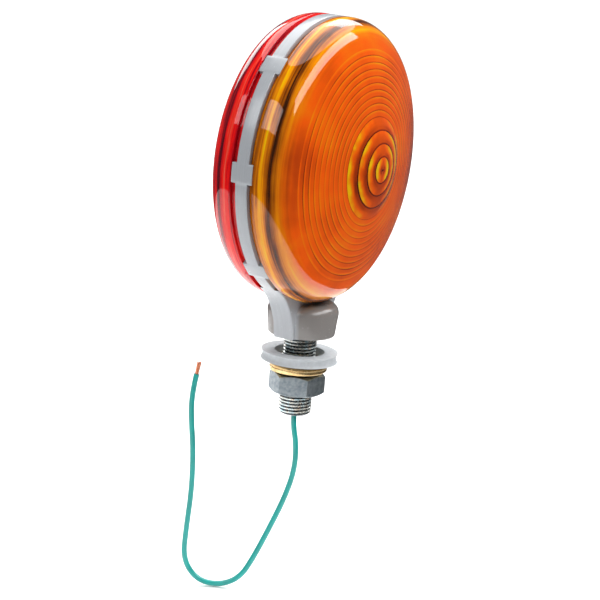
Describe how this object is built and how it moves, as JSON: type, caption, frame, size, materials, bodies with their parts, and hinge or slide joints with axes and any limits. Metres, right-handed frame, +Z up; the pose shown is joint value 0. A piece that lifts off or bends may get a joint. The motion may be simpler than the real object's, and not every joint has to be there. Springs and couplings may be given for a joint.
{
  "type": "double-face pedestal lamp",
  "caption": "Round double-face vehicle lamp, amber and red lenses on a grey pedestal, with a hollow threaded stud, pad, lock washer, nut and lead.",
  "frame": {"origin": "on the stud's axis, on the flat underside of the pedestal foot, where the lamp seats", "axes": "+Z up along the stud's axis to the lamp head, -Y out of the amber lens, +Y out of the red lens"},
  "size_m": [0.108, 0.0641, 0.2271],
  "materials": {
    "housing_plastic": "grey moulded polycarbonate, satin",
    "amber_lens": "transparent amber polycarbonate, polished outside, ribbed inside",
    "red_lens": "transparent red polycarbonate, polished outside, ribbed inside",
    "black_rubber": "black rubber",
    "grey_rubber": "light grey moulded rubber",
    "zinc_steel": "bright zinc plated steel",
    "yellow_zinc": "yellow zinc plated spring steel",
    "brass": "bright brass",
    "nickel": "nickel plated",
    "fibre": "pressed insulating fibre",
    "spring_steel": "plain spring wire",
    "bulb_clear": "clear blown glass",
    "black_glass": "black insulator glass",
    "solder": "solder",
    "tungsten": "tungsten wire",
    "green_pvc": "green PVC insulation, slightly glossy",
    "copper": "bare copper strands"
  },
  "bodies": {
    "lamp_body": {"housing": "housing_plastic", "front_lens_seal": "black_rubber", "rear_lens_seal": "black_rubber", "mounting_stud": "zinc_steel", "stud_wire_seal": "black_rubber", "socket_bracket": "zinc_steel", "socket_screws": "zinc_steel", "socket_shell": "brass", "contact_spring": "spring_steel", "ground_strap": "brass", "inner_lead": "green_pvc", "lead_wire": "green_pvc", "wire_strands": "copper"},
    "front_lens": {"front_lens": "amber_lens"},
    "rear_lens": {"rear_lens": "red_lens"},
    "contact": {"contact_disc": "fibre", "contact_button": "brass"},
    "bulb": {"bulb_glass": "bulb_clear", "bulb_base": "nickel", "bulb_pins": "nickel", "bulb_insulator": "black_glass", "bulb_tip": "solder", "bulb_stem": "bulb_clear", "bulb_supports": "nickel", "bulb_filament": "tungsten"},
    "pad": {"mounting_pad": "grey_rubber"},
    "washer": {"lock_washer": "yellow_zinc"},
    "nut": {"hex_nut": "zinc_steel"}
  },
  "joints": [
    {"name": "nut_turn", "type": "hinge", "parent": "washer", "child": "nut", "pos_m": [0, 0, -0.01937], "axis": [0, 0, 1], "range_deg": [-4054.5, 1942.7]},
    {"name": "washer_slide", "type": "slide", "parent": "lamp_body", "child": "washer", "axis": [0, 0, 1], "range_m": [-0.0143, 0.00685]},
    {"name": "pad_slide", "type": "slide", "parent": "lamp_body", "child": "pad", "axis": [0, 0, 1], "range_m": [-0.01431, 0.00686]},
    {"name": "front_lens_pull", "type": "slide", "parent": "lamp_body", "child": "front_lens", "axis": [0, -1, 0], "range_m": [0, 0.03]},
    {"name": "rear_lens_pull", "type": "slide", "parent": "lamp_body", "child": "rear_lens", "axis": [0, 1, 0], "range_m": [0, 0.03]},
    {"name": "bulb_press", "type": "slide", "parent": "lamp_body", "child": "contact", "axis": [0, 0, -1], "range_m": [0, 0.0015], "stiffness_N_per_m": 1500, "springref_m": -0.004, "deforming": ["contact_spring", "inner_lead"]},
    {"name": "bulb_turn", "type": "hinge", "parent": "contact", "child": "bulb", "pos_m": [0, 0, 0.036], "axis": [0, 0, 1], "range_deg": [0, 18]}
  ],
  "couplings": [
    {"joint": "nut_turn", "follows": "washer_slide", "rad_per_m": 4947.4},
    {"joint": "pad_slide", "follows": "washer_slide", "ratio": 1}
  ]
}
